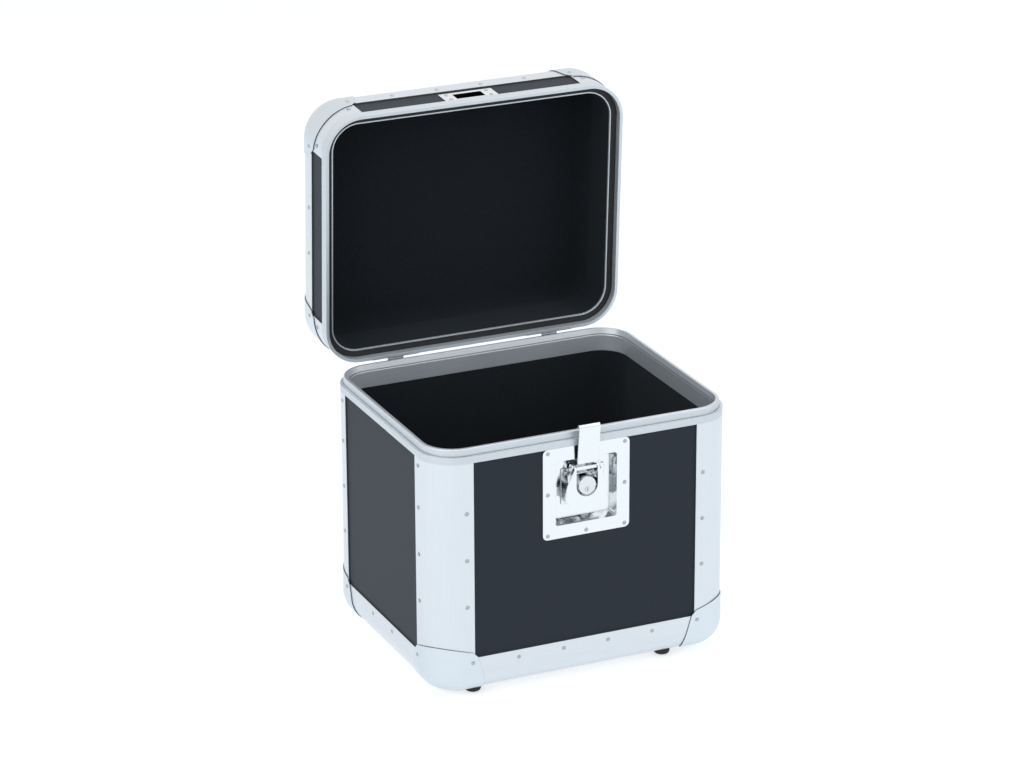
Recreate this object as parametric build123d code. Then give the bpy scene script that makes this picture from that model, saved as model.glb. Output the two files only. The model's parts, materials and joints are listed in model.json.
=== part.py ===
from build123d import *
import math
import os

# Hinged carrying case for records: laminated boards held in aluminium extrusions, with a
# tongued rim, a framed lid, one recessed drawbolt latch with a key lock, two butt hinges at
# the back and a drop handle on the lid. Millimetres. The lid stands open in the rest pose.

# ---------------------------------------------------------------- overall sizes
case_width = 378.0
case_depth = 306.0
base_height = 292.0          # closed bottom to the parting plane, without the feet
lid_height = 88.5            # parting plane to the lid's top
corner_radius = 44.0         # upright corners, in plan
edge_round = 28.0            # long edges at the bottom and at the lid's top
lid_open = 87.0              # angle of the lid from closed, in the rest pose

# ---------------------------------------------------------------- walls and extrusions
skin = 1.5                   # thickness of the extrusions' walls and flanges
board = 7.5                  # laminated board
felt = 1.5                   # lining
wall = skin + board
lined_wall = wall + felt
corner_reach = 50.0          # width of an upright corner extrusion on each face
corner_lap = 14.0            # how far its flange laps the board
base_band = 18.0             # flat part of the base's edge extrusion, above the round
lid_band = 15.0
edge_lap = 12.0
butt_gap = 0.1               # gap where two extrusions meet end to end

# ---------------------------------------------------------------- rim of the base
rim_flange = 8.0
tongue_height = 8.5
tongue_outer = 4.0
tongue_draft = 2.2           # how much the tongue's inner face leans out over its height
tongue_wall = 1.3
tongue_rounding = 1.5
inner_flange = 19.0          # inner flange, below the parting plane
groove_height = 1.2
groove_width = 0.9
groove_depth = 0.7

# ---------------------------------------------------------------- frame of the lid
frame_flange = 13.5
frame_lip = 3.7
frame_wall = 1.2
groove_root = 11.0           # depth of the frame's groove
bead_gap = 0.3
bead_wall = 1.5
bead_drop = 9.6              # top of the bead below the lid's parting face
seal_thick = 2.0
seal_gap = 0.4

# ---------------------------------------------------------------- ball corners
ball_thick = 1.2
ball_gap = 0.05
ball_reach = 59.0
ball_rise = 7.6              # above the lower edge of the panel
ball_slope = 0.3
ball_chamfer = 54.5          # sum of the two reaches at the cut corner, beyond the band

# ---------------------------------------------------------------- rivets
rivet_head = 2.5             # radius of the head
rivet_dome = 1.2
rivet_shank = 1.4
rivet_depth = 5.0
rivet_gap = 0.05
corner_rivet_in = 41.5       # from the side of the case
corner_rivet_low = 64.0      # lowest one, above the lower edge of the panel
corner_rivet_pitch = 57.0
corner_rivet_count = 3
side_rivet_drop = 9.5        # extra rivet on the side faces, below the rim
edge_rivet_drop = 8.7        # from the edge of the extrusion
front_rivet_pitch = 56.3
front_rivet_count = 4
side_rivet_pitch = 57.0
side_rivet_count = 2
ball_rivet_in = 47.0
ball_rivet_drop = 5.0
lid_corner_rivet_in = 40.0

# ---------------------------------------------------------------- feet
foot_height = 8.0
foot_radius = 9.5
foot_rounding = 4.0
foot_left = 60.0             # from the left side of the case
foot_right = 77.0            # from the right side
foot_inset = 30.0            # from the front and from the back
foot_gap = 0.5               # between a foot and the ball corner beside it
screw_radius = 1.9
screw_head_radius = 3.4
screw_head_height = 2.4
screw_recess = 3.4
screw_grip = 7.0             # into the bottom
screw_gap = 0.1

# ---------------------------------------------------------------- hinges
hinge_offset = 7.0           # axis behind the back face
hinge_inset = 9.0            # from the corner extrusions to a hinge
hinge_width = 60.0
hinge_knuckle = 20.0         # length of the lid's middle knuckle
knuckle_gap = 0.3
knuckle_radius = 3.5
pin_radius = 2.0
pin_clear = 0.05
leaf_thick = 1.5
leaf_base = 38.0             # leaf on the base, below the axis
leaf_clear = 7.5             # from the leaf on the lid to the lid's edge extrusion
leaf_gap = 2.0               # from the axis to the edge of either leaf
stop_gap = 0.3
hinge_rivet_pitch = 36.0
hinge_rivet_low = 5.0
hinge_rivet_rise = 12.0

# ---------------------------------------------------------------- latch
dish_width = 108.0
dish_height = 109.9
dish_corner = 6.0
dish_sheet = 1.2
dish_face = 0.3              # depth of the dish's flange below the extrusions' faces
recess_width = 76.5
recess_top = 16.4            # below the rim
recess_height = 78.0
recess_depth = 12.0
recess_slope = 4.0
recess_corner = 3.0
dish_hole_gap = 0.6
dish_rivet_in = 6.0
dish_rivet_edge = 4.9
plate_width = 53.0
plate_height = 42.0
plate_top = 31.0             # below the rim
plate_thick = 1.5
plate_rivet_in = 5.5
plate_rivet_edge = 5.8
pivot_depth = 4.0            # the lever's pivot, behind the front face
pivot_drop = 27.0            # below the rim
hook_pivot_depth = 6.5
hook_pivot_drop = 35.0
latch_pin = 1.5
latch_clear = 0.05
ear_gap = 0.5
ear_thick = 2.0
ear_radius = 3.5
cheek_thick = 2.0
cheek_gap = 0.3
cheek_radius = 3.6
arm_width = 26.0
arm_thick = 1.6
arm_eye = 3.0
arm_face = -2.4              # depth of the arm's middle, in front of the case
arm_back = 1.2
arm_low = 5.0                # first bend, above the hook's pivot
arm_mid = 9.0
arm_bend = 15.0
hook_radius = 3.0
hook_rise = 58.0             # centre of the curl, above the hook's pivot
hook_lean = 6.0              # the arm leans out by this angle in the rest pose
lever_thick = 1.5
lever_back = -0.5
lever_top = 30.0             # below the rim
lever_centre = 57.0
lever_radius = 26.0
lever_cut = 13.3
lug_radius = 2.4
lug_bore = 1.2
lug_length = 11.0
lug_drop = 62.0
cylinder_radius = 10.5
cylinder_drop = 49.7
cylinder_face = -3.0
plug_radius = 3.0
plug_drop = 5.0
plug_proud = 0.6
plug_clear = 0.05
keyway_width = 0.9
keyway_height = 4.0
keyway_depth = 3.0
cam_depth = 7.0
cam_thick = 2.0
cam_length = 12.9
cam_width = 4.0
cam_clear = 0.2
cam_window_gap = 0.3
catch_reach = 1.8            # how far the lever's catch turns in under the cam
catch_thick = 1.0
catch_low = 56.0
catch_high = 44.0

# ---------------------------------------------------------------- keeper on the lid
keeper_width = 67.0
keeper_clear = 7.9           # from the plate to the lid's edge extrusion
keeper_sheet = 1.2
slot_width = 36.0
slot_top = 5.0               # plate above the slot
slot_lip = 3.0
cup_wall = 1.0
cup_depth = 7.4
cup_gap = 0.1
cup_raise = 0.3              # floor of the cup above the plate's lower edge
keeper_rivet_x = 25.5
keeper_rivet_low = 3.5
keeper_rivet_top = 5.5       # from the plate's upper edge to its upper rivets
keeper_rivet_head = 2.5

# ---------------------------------------------------------------- handle on the lid
handle_span = 120.0
handle_reach = 38.0
handle_rise = 7.0            # pivot above the lid's extrusions
handle_rod = 2.5
handle_bend = 6.0
grip_radius = 8.0
grip_length = 96.0
grip_rounding = 2.5
barrel_radius = 4.3
barrel_length = 9.0
barrel_inset = 7.0           # from the bail's side to the barrel
bail_end = 2.0
bail_head = 3.4
handle_clear = 0.08
bracket_thick = 1.5
bracket_length = 30.0
bracket_side = 6.0
bracket_rivet_out = 10.0

spare = 1.0                  # how far cutting tools run past what they cut

# ---------------------------------------------------------------- derived sizes
half_width = case_width / 2
half_depth = case_depth / 2
front = -half_depth
parting = foot_height + base_height
lid_top = parting + lid_height
base_edge = edge_round + base_band        # reach of the base's edge extrusions
lid_edge = edge_round + lid_band
corner_full = corner_reach - corner_lap   # where the corner extrusions are as thick as the wall
base_panel_top = base_height - rim_flange
lid_panel_top = lid_height - frame_flange
leaf_lid = lid_height - lid_edge - leaf_clear
keeper_height = lid_panel_top - lid_edge - cup_gap - keeper_clear
slot_height = keeper_height - slot_lip - slot_top
keeper_rivet_high = keeper_height - keeper_rivet_top
base_board_top = base_height - skin
lid_board_top = lid_height - groove_root - frame_wall
rim_line = parting - rim_flange           # height of the panel's upper edge
pivot_y = front + pivot_depth
pivot_z = rim_line - pivot_drop
hook_y = front + hook_pivot_depth
hook_z = rim_line - hook_pivot_drop
cylinder_z = rim_line - cylinder_drop
plug_z = cylinder_z - plug_drop
hinge_pitch = case_width - 2 * (corner_reach + hinge_inset) - hinge_width
hinge_y = half_depth + hinge_offset
hinge_z = parting

base_nodes = {}
lid_nodes = {}
lever_nodes = {}
hook_pin_nodes = {}
hook_nodes = {}
plug_nodes = {}
bail_nodes = {}


# ---------------------------------------------------------------- helpers
def plan(inset):
    """Rounded rectangle of the case in plan, inset from its faces."""
    return RectangleRounded(case_width - 2 * inset, case_depth - 2 * inset, corner_radius - inset)


def ring(outer, inner, low, high):
    """Upright ring between two insets and two heights."""
    return Pos(0, 0, low) * extrude(plan(outer) - plan(inner), amount=high - low)


def rounded_block(inset, height):
    """The case's block, closed end down with rounded edges, inset from its faces and that end."""
    solid = Pos(0, 0, inset) * extrude(plan(inset), amount=height - inset)
    return fillet(solid.faces().sort_by(Axis.Z)[0].edges(), edge_round - inset)


def on_front(sketch, outer, inner, face=front):
    """Solid of a sketch in x and z, between two depths behind the front face."""
    plane = Plane(origin=(0, face + inner, 0), x_dir=(1, 0, 0), z_dir=(0, -1, 0))
    return extrude(plane * sketch, amount=inner - outer)


def along_x(sketch, left, right, face=front):
    """Solid of a sketch in depth and z, between two values of x."""
    plane = Plane(origin=(left, face, 0), x_dir=(0, 1, 0), z_dir=(1, 0, 0))
    return extrude(plane * sketch, amount=right - left)


def box_between(x0, x1, y0, y1, z0, z1):
    """Box given by its six faces."""
    return Pos((x0 + x1) / 2, (y0 + y1) / 2, (z0 + z1) / 2) * Box(x1 - x0, y1 - y0, z1 - z0)


def rect_between(x0, x1, y0, y1):
    """Rectangle given by its four sides."""
    return Pos((x0 + x1) / 2, (y0 + y1) / 2) * Rectangle(x1 - x0, y1 - y0)


def rod_x(radius, x0, x1, y, z):
    """Cylinder along x."""
    return Pos((x0 + x1) / 2, y, z) * Rot(0, 90, 0) * Cylinder(radius, x1 - x0)


def strip(points, thickness):
    """Flat band of a bent strip: one rounded bar for each run."""
    area = None
    for (x0, y0), (x1, y1) in zip(points[:-1], points[1:]):
        length = math.hypot(x1 - x0, y1 - y0)
        turn = math.degrees(math.atan2(y1 - y0, x1 - x0))
        run = Pos((x0 + x1) / 2, (y0 + y1) / 2) * Rot(0, 0, turn) * SlotCenterToCenter(length, thickness)
        area = run if area is None else area + run
    return area


def four(solid):
    """The piece and its mirror images in the other three corners, by the corners' names."""
    right = mirror(solid, Plane.YZ)
    return {"front_left": solid, "front_right": right,
            "back_left": mirror(solid, Plane.XZ), "back_right": mirror(right, Plane.XZ)}


def rivet(head=rivet_head, depth=rivet_depth, dome=rivet_dome):
    """Domed rivet, its head above the XY plane and its shank below."""
    ball = (head ** 2 + dome ** 2) / (2 * dome)
    cap = (Pos(0, 0, dome - ball) * Sphere(ball)) & (Pos(0, 0, dome) * Box(2 * head, 2 * head, 2 * dome))
    return cap + Pos(0, 0, -depth / 2) * Cylinder(rivet_shank, depth)


def drill(depth=rivet_depth):
    """Hole for a rivet's shank."""
    length = depth + 2 * spare
    return Pos(0, 0, spare - length / 2 + rivet_gap) * Cylinder(rivet_shank + rivet_gap, length)


def facing(side, across, height, proud=0.0):
    """Place on one face of the case, its Z axis pointing out of that face."""
    if side == "front":
        return Pos(across, -half_depth - proud, height) * Rot(90, 0, 0)
    if side == "back":
        return Pos(across, half_depth + proud, height) * Rot(-90, 0, 0)
    if side == "left":
        return Pos(-half_width - proud, across, height) * Rot(0, -90, 0)
    if side == "right":
        return Pos(half_width + proud, across, height) * Rot(0, 90, 0)
    return Pos(across, height, -proud) * Rot(180, 0, 0)


def spread(count, pitch):
    """Centred row of places."""
    return [(i - (count - 1) / 2) * pitch for i in range(count)]


def drilled(solid, places, depth=rivet_depth):
    """The piece with a hole at each place that reaches it."""
    box = solid.bounding_box()
    tools = []
    for place in places:
        tool = place * drill(depth)
        reach = tool.bounding_box()
        if (reach.min.X < box.max.X and reach.max.X > box.min.X
                and reach.min.Y < box.max.Y and reach.max.Y > box.min.Y
                and reach.min.Z < box.max.Z and reach.max.Z > box.min.Z):
            tools.append(tool)
    return solid - tools if tools else solid


def solids_of(*shapes):
    """All solids of the shapes, as one list."""
    return [solid for shape in shapes for solid in shape.solids()]


# ---------------------------------------------------------------- sections of the extrusions
def edge_area(inset, reach):
    """Square at a long edge, in depth from the face and height from the closed end, one corner rounded."""
    area = rect_between(inset, reach, inset, reach)
    return fillet(area.vertices().sort_by(lambda p: p.X + p.Y)[0], edge_round - inset)


def edge_section(reach):
    """Section of an edge extrusion: a closed channel round the edge and a flange on each face."""
    full = reach - edge_lap
    section = edge_area(0, full) - edge_area(wall, full)
    section = section + (edge_area(0, reach) - edge_area(skin, reach))
    return section - (edge_area(skin, full - skin) - edge_area(wall - skin, full - skin))


def corner_square(reach):
    """Square at the front left corner in plan."""
    return rect_between(-half_width - spare, -half_width + reach, front - spare, front + reach)


def corner_section():
    """Section of an upright corner extrusion."""
    section = (plan(0) - plan(wall)) & corner_square(corner_full)
    section = section + ((plan(0) - plan(skin)) & corner_square(corner_reach))
    return section - ((plan(skin) - plan(wall - skin)) & corner_square(corner_full - skin))


def half_case(reach, panel_top, board_top, height, lining_top, end_chamfer, places):
    """Boards, extrusions, ball corners and lining of one half, closed end down at z = 0."""
    full = reach - edge_lap
    pieces = {}
    cut_back = max(corner_radius, reach) + butt_gap
    straight_x = case_width - 2 * cut_back
    straight_y = case_depth - 2 * cut_back
    section = edge_section(reach)
    along = Plane(origin=(-straight_x / 2, front, 0), x_dir=(0, 1, 0), z_dir=(1, 0, 0))
    front_edge = extrude(along * section, amount=straight_x)
    across = Plane(origin=(-half_width, straight_y / 2, 0), x_dir=(1, 0, 0), z_dir=(0, -1, 0))
    left_edge = extrude(across * section, amount=straight_y)
    edges = {"front": front_edge, "back": mirror(front_edge, Plane.XZ),
             "left": left_edge, "right": mirror(left_edge, Plane.YZ)}
    for side, solid in edges.items():
        pieces["edge_" + side] = drilled(solid, places)

    corner = Pos(0, 0, reach + butt_gap) * extrude(corner_section(), amount=board_top - reach - butt_gap)
    corner = corner - ring(-spare, skin, panel_top, height)
    for name, solid in four(corner).items():
        pieces["corner_" + name] = drilled(solid, places)

    sheet = plan(skin) - plan(wall)
    long_side = sheet & rect_between(-half_width + corner_full, half_width - corner_full,
                                     front - spare, front + corner_full)
    short_side = sheet & rect_between(-half_width - spare, -half_width + corner_full,
                                      front + corner_full, -front - corner_full)
    front_board = Pos(0, 0, full) * extrude(long_side, amount=board_top - full)
    left_board = Pos(0, 0, full) * extrude(short_side, amount=board_top - full)
    boards = {"front": front_board, "back": mirror(front_board, Plane.XZ),
              "left": left_board, "right": mirror(left_board, Plane.YZ)}
    for side, solid in boards.items():
        pieces["board_" + side] = drilled(solid, places)
    end = box_between(-half_width + full, half_width - full, front + full, -front - full, skin, wall)
    pieces["board_end"] = drilled(end, places)

    pieces["lining"] = rounded_block(wall, lining_top) - rounded_block(lined_wall, lining_top)

    tall = reach + ball_reach
    cover = rounded_block(-ball_thick - ball_gap, tall) - rounded_block(-ball_gap, tall)
    region = box_between(-half_width - 2 * spare, -half_width + tall, front - 2 * spare, front + tall,
                         -2 * spare, tall)
    long_limit = ball_reach + ball_slope * edge_round
    tall_limit = reach + ball_rise + ball_slope * corner_radius
    chamfer = reach + ball_chamfer
    limits = [((1, ball_slope, ball_slope), long_limit), ((ball_slope, 1, ball_slope), long_limit),
              ((ball_slope, ball_slope, 1), tall_limit),
              ((1, 0, 1), chamfer), ((0, 1, 1), chamfer), ((1, 1, 0), end_chamfer)]
    for normal, limit in limits:
        size = sum(part * part for part in normal)
        point = [part * limit / size for part in normal]
        cut = Plane(origin=(point[0] - half_width, point[1] + front, point[2]), z_dir=normal)
        region = split(region, bisect_by=cut, keep=Keep.BOTTOM)
    for name, solid in four(cover & region).items():
        pieces["ball_" + name] = drilled(solid, places)
    return pieces


def corner_places(reach, inset, heights, side_heights):
    """Rivet places on the upright corner extrusions."""
    places = []
    for side in ("front", "back"):
        for sign in (-1, 1):
            places += [facing(side, sign * (half_width - inset), reach + z) for z in heights]
    for side in ("left", "right"):
        for sign in (-1, 1):
            places += [facing(side, sign * (half_depth - inset), reach + z) for z in side_heights]
    return places


def edge_places(reach):
    """Rivet places on the edge extrusions, on the sides and on the closed end."""
    drop = reach - edge_rivet_drop
    places = []
    for x in spread(front_rivet_count, front_rivet_pitch):
        places += [facing("front", x, drop), facing("back", x, drop)]
        places += [facing("end", x, front + drop), facing("end", x, -front - drop)]
    for y in spread(side_rivet_count, side_rivet_pitch):
        places += [facing("left", y, drop), facing("right", y, drop)]
        places += [facing("end", -half_width + drop, y), facing("end", half_width - drop, y)]
    return places


def ball_places(reach, on_end):
    """Rivet places on the ball corners, one on each upright lobe, and on the end's if asked."""
    proud = ball_thick + ball_gap
    height = reach - ball_rivet_drop
    across = half_width - ball_rivet_in
    along = half_depth - ball_rivet_in
    places = []
    for sign in (-1, 1):
        places += [facing(side, sign * across, height, proud) for side in ("front", "back")]
        places += [facing("left", sign * along, height, proud), facing("right", sign * along, height, proud)]
        if on_end:
            places += [facing("end", sign * across, way * along, proud) for way in (-1, 1)]
    return places


# ---------------------------------------------------------------- base
corner_heights = [corner_rivet_low + i * corner_rivet_pitch for i in range(corner_rivet_count)]
side_heights = corner_heights + [base_panel_top - base_edge - side_rivet_drop]
base_flat_places = (corner_places(base_edge, corner_rivet_in, corner_heights, side_heights)
                    + edge_places(base_edge))
base_ball_places = ball_places(base_edge, False)

# places of the feet's screws, in the base's own frame
foot_points = [(x, y) for y in (front + foot_inset, -front - foot_inset)
               for x in (-half_width + foot_left, half_width - foot_right)]

foot_clear = foot_left + foot_inset - math.sqrt(2) * (foot_radius + foot_gap)
base = half_case(base_edge, base_panel_top, base_board_top, base_height, base_height - inner_flange,
                 foot_clear, base_flat_places + base_ball_places)

# rim: outer flange, ledge, inner flange and the hollow tongue
tongue_inner = lined_wall
tongue_top = base_height + tongue_height
rim = ring(0, skin, base_panel_top, base_height)
rim = rim + ring(0, tongue_outer + tongue_wall, base_height - skin, base_height)
rim = rim + ring(wall, lined_wall, base_height - inner_flange, base_height)
outer_part = extrude(plan(tongue_outer), amount=tongue_height)
outer_part = fillet(outer_part.faces().sort_by(Axis.Z)[-1].edges(), tongue_rounding)
inner_part = loft([plan(tongue_inner), Pos(0, 0, tongue_height) * plan(tongue_inner - tongue_draft)])
tongue = outer_part - inner_part
hollow_height = tongue_height - tongue_wall
hollow_outer = extrude(plan(tongue_outer + tongue_wall), amount=hollow_height)
hollow_shift = tongue_draft * hollow_height / tongue_height
hollow_inner = loft([plan(tongue_inner - tongue_wall),
                     Pos(0, 0, hollow_height) * plan(tongue_inner - tongue_wall - hollow_shift)])
tongue = tongue - (hollow_outer - hollow_inner)
rim = rim + Pos(0, 0, base_height) * tongue
groove_in = tongue_inner - groove_depth - tongue_draft * groove_height / tongue_height
rim = rim - ring(groove_in, tongue_inner + spare, base_height + groove_height,
                 base_height + groove_height + groove_width)

# latch recess in the front board and the lining
recess_high = base_panel_top - recess_top
recess_low = recess_high - recess_height
hole_half = recess_width / 2 + dish_sheet + dish_hole_gap
hole_low = recess_low - dish_sheet - dish_hole_gap
hole_high = recess_high + dish_sheet + dish_hole_gap
latch_hole = on_front(rect_between(-hole_half, hole_half, hole_low, hole_high), -spare, lined_wall + spare)
dish_places = []
dish_low = base_panel_top - dish_height
for sign in (-1, 1):
    for z in (base_panel_top - dish_rivet_edge, base_panel_top - dish_height / 2, dish_low + dish_rivet_edge):
        dish_places.append(facing("front", sign * (dish_width / 2 - dish_rivet_in), z, -dish_face))
dish_places.append(facing("front", 0, dish_low + dish_rivet_edge, -dish_face))
front_board = drilled(base["board_front"] - latch_hole, dish_places)
lining = base["lining"] - latch_hole

# hinges on the back board
hinge_places_base = []
for x in (-hinge_pitch / 2, hinge_pitch / 2):
    for dx in spread(2, hinge_rivet_pitch):
        for z in (hinge_rivet_low, hinge_rivet_low + hinge_rivet_rise):
            hinge_places_base.append(facing("back", x + dx, base_height - leaf_base + z, leaf_thick))
back_board = drilled(base["board_back"], hinge_places_base)

# holes for the feet's screws through the bottom
screw_holes = [Pos(x, y, screw_grip / 2) * Cylinder(screw_radius + screw_gap, screw_grip + 2 * spare)
               for x, y in foot_points]
for side in ("front", "back"):
    base["edge_" + side] = base["edge_" + side] - screw_holes

lift = Pos(0, 0, foot_height)
base_nodes["base_panel_front"] = [lift * front_board]
base_nodes["base_panel_back"] = [lift * back_board]
base_nodes["base_panel_left"] = [lift * base["board_left"]]
base_nodes["base_panel_right"] = [lift * base["board_right"]]
base_nodes["base_panel_bottom"] = [lift * base["board_end"]]
base_nodes["base_lining"] = [lift * lining]
for name in ("front_left", "front_right", "back_left", "back_right"):
    base_nodes["base_corner_" + name] = [lift * base["corner_" + name]]
for side in ("front", "back", "left", "right"):
    base_nodes["base_edge_" + side] = [lift * base["edge_" + side]]
base_nodes["base_ball_corners"] = [lift * base["ball_" + name] for name in
                                   ("front_left", "front_right", "back_left", "back_right")]
base_nodes["base_rim"] = [lift * rim]
case_rivet = rivet()
base_nodes["base_rivets"] = [lift * place * case_rivet for place in base_flat_places + base_ball_places]

foot = Pos(0, 0, foot_height / 2) * Cylinder(foot_radius, foot_height)
foot = fillet(foot.faces().sort_by(Axis.Z)[0].edges(), foot_rounding)
foot = foot - Pos(0, 0, foot_height / 2) * Cylinder(screw_radius + screw_gap, foot_height + 2 * spare)
screw_seat = Cylinder(screw_head_radius + screw_gap, screw_recess + spare)
foot = foot - Pos(0, 0, screw_recess / 2 - spare / 2) * screw_seat
screw = Pos(0, 0, screw_recess - screw_head_height / 2) * Cylinder(screw_head_radius, screw_head_height)
screw_length = foot_height + screw_grip - screw_recess
screw = screw + Pos(0, 0, screw_recess + screw_length / 2) * Cylinder(screw_radius, screw_length)
base_nodes["feet"] = [Pos(x, y, 0) * foot for x, y in foot_points]
base_nodes["foot_screws"] = [Pos(x, y, 0) * screw for x, y in foot_points]

# ---------------------------------------------------------------- latch
rim_z = rim_line
dish_mid = rim_z - recess_top - recess_height / 2
flange_sketch = Pos(0, rim_z - dish_height / 2) * RectangleRounded(dish_width, dish_height, dish_corner)


def recess_block(grow, depth_from, depth_to):
    """Frustum of the recess, larger all round by grow, between two depths."""
    def opening(depth):
        inset = recess_slope * (depth - dish_face) / (recess_depth - dish_face)
        plane = Plane(origin=(0, front + depth, dish_mid), x_dir=(1, 0, 0), z_dir=(0, -1, 0))
        return plane * RectangleRounded(recess_width + 2 * grow - 2 * inset,
                                        recess_height + 2 * grow - 2 * inset, recess_corner + grow)
    return loft([opening(depth_to), opening(depth_from)])


dish = on_front(flange_sketch, dish_face, dish_face + dish_sheet)
dish = dish + recess_block(dish_sheet, dish_face + dish_sheet, recess_depth + dish_sheet)
dish = dish - recess_block(0, dish_face, recess_depth)
plate_high = rim_z - plate_top
plate_low = plate_high - plate_height
plate_face = recess_depth - plate_thick
plate_places = [facing("front", sign * (plate_width / 2 - plate_rivet_in), z, -plate_face)
                for sign in (-1, 1) for z in (plate_high - plate_rivet_edge, plate_low + plate_rivet_edge)]
flange_places = [lift * place for place in dish_places]
dish = drilled(drilled(dish, flange_places), plate_places)
plate_outline = rect_between(-plate_width / 2, plate_width / 2, plate_low, plate_high)
plate = on_front(plate_outline, plate_face, recess_depth)
plate = drilled(plate, plate_places)

cheek_out = arm_width / 2 + cheek_gap + cheek_thick
cheek_in = arm_width / 2 + cheek_gap
ear_in = cheek_out + ear_gap
ear_out = ear_in + ear_thick
pivot_point = Pos(pivot_depth, pivot_z)
hook_point = Pos(hook_pivot_depth, hook_z)
ear_foot = rect_between(plate_face - spare, plate_face, plate_high - 2 * ear_radius - ear_thick, plate_high)
ear_sketch = make_hull((pivot_point * Circle(ear_radius)).edges() + ear_foot.edges())
ear_sketch = ear_sketch - pivot_point * Circle(latch_pin + latch_clear)
for left, right in ((-ear_out, -ear_in), (ear_in, ear_out)):
    plate = plate + along_x(ear_sketch, left, right)
lever_pin = rod_x(latch_pin, -ear_out - latch_pin / 3, ear_out + latch_pin / 3, pivot_y, pivot_z)

cylinder_plane = Pos(0, cylinder_z)
plug_plane = Pos(0, plug_z)
cylinder = on_front(cylinder_plane * Circle(cylinder_radius), cylinder_face, plate_face)
cylinder = fillet(cylinder.faces().sort_by(Axis.Y)[0].edges(), latch_pin / 3)
plug_bore = plug_plane * Circle(plug_radius + plug_clear)
cylinder = cylinder - on_front(plug_bore, cylinder_face - spare, plate_face + spare)
window_reach = 2 * cylinder_radius
window = rect_between(-cam_width / 2 - cam_window_gap, window_reach, plug_z - window_reach,
                      plug_z + cam_width / 2 + cam_window_gap)
cylinder = cylinder - on_front(window, cam_depth - cam_clear, cam_depth + cam_thick + cam_clear)
plug = on_front(plug_plane * Circle(plug_radius), cylinder_face - plug_proud, cam_depth + cam_thick)
keyway = plug_plane * Rectangle(keyway_width, keyway_height)
plug = plug - on_front(keyway, cylinder_face - plug_proud - spare, cylinder_face - plug_proud + keyway_depth)
cam_area = (plug_plane * Circle(cam_width) +
            rect_between(-cam_width / 2, cam_width / 2, plug_z - cam_length, plug_z))
cam_area = cam_area & rect_between(-cam_width / 2, cam_width, plug_z - cam_length, plug_z + cam_width / 2)
cam_area = cam_area - plug_plane * Circle(plug_radius)
cam_area = cam_area & (rect_between(-cam_width / 2, cam_width / 2, plug_z - cam_length, plug_z))
cam = on_front(cam_area, cam_depth, cam_depth + cam_thick)

base_nodes["latch_dish"] = [dish]
base_nodes["dish_rivets"] = [place * case_rivet for place in flange_places]
base_nodes["latch_base_plate"] = [plate]
base_nodes["latch_plate_rivets"] = [place * case_rivet for place in plate_places]
base_nodes["lever_pin"] = [lever_pin]
base_nodes["lock_cylinder"] = [cylinder]
plug_nodes["lock_plug"] = [plug]
plug_nodes["lock_cam"] = [cam]

lever_front = lever_back - lever_thick
lever_high = rim_z - lever_top
lever_mid = rim_z - lever_centre
outline_top = rect_between(-cheek_out, cheek_out, lever_high - cheek_thick, lever_high)
outline = make_hull(outline_top.edges() + (Pos(0, lever_mid) * Circle(lever_radius)).edges())
cut_top = rect_between(-lever_cut, lever_cut, cylinder_z, lever_high + spare)
outline = outline - cut_top - cylinder_plane * Circle(lever_cut)
lever = on_front(outline, lever_front, lever_back)
cheek_low = rim_z - catch_high
cheek_foot = rect_between(lever_front, lever_back, cheek_low, lever_high)
cheek = make_hull((pivot_point * Circle(cheek_radius)).edges() + (hook_point * Circle(cheek_radius)).edges()
                  + cheek_foot.edges())
cheek = cheek - pivot_point * Circle(latch_pin + latch_clear) - hook_point * Circle(latch_pin + latch_clear)
for left, right in ((-cheek_out, -cheek_in), (cheek_in, cheek_out)):
    lever = lever + along_x(cheek, left, right)
catch_back = cam_depth + cam_thick + cam_clear + catch_thick
catch_leg = rect_between(lever_front, catch_back, rim_z - catch_low, cheek_low)
lever = lever + along_x(catch_leg, cheek_in, cheek_out)
catch_foot = rect_between(catch_back - catch_thick, catch_back, rim_z - catch_low, cheek_low)
lever = lever + along_x(catch_foot, cheek_in - catch_reach, cheek_out)
lug_x = math.sqrt(lever_radius ** 2 - (lug_drop - lever_centre) ** 2) - lug_radius / 2
for sign in (-1, 1):
    lug_place = Pos(sign * lug_x, front + lever_front + lug_radius, rim_z - lug_drop)
    lug = lug_place * Cylinder(lug_radius, lug_length)
    bore = lug_place * Cylinder(lug_bore, lug_length + spare)
    lever = (lever + lug) - bore
lever_nodes["latch_lever"] = [lever]
pin_end = cheek_out + latch_clear
hook_pin_nodes["hook_pin"] = [rod_x(latch_pin, -pin_end, pin_end, hook_y, hook_z)]

curl_out = arm_face + hook_radius
curl_z = hook_z + hook_rise
path = [(hook_pivot_depth - arm_eye + arm_thick / 2, hook_z), (arm_back, hook_z + arm_low),
        (arm_back, hook_z + arm_mid), (arm_face, hook_z + arm_bend), (arm_face, curl_z)]
arm = strip(path, arm_thick) + hook_point * Circle(arm_eye)
curl = Pos(curl_out, curl_z) * (Circle(hook_radius + arm_thick / 2) - Circle(hook_radius - arm_thick / 2))
curl = curl & rect_between(arm_face - arm_thick, curl_out + hook_radius + arm_thick,
                           curl_z, curl_z + 2 * hook_radius)
arm = arm + curl + Pos(curl_out + hook_radius, curl_z) * Circle(arm_thick / 2)
arm = arm - hook_point * Circle(latch_pin + latch_clear)
arm = along_x(arm, -arm_width / 2, arm_width / 2)
hook_axis = Axis((0, hook_y, hook_z), (1, 0, 0))
hook_nodes["hook_arm"] = [arm.rotate(hook_axis, hook_lean)]

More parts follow.
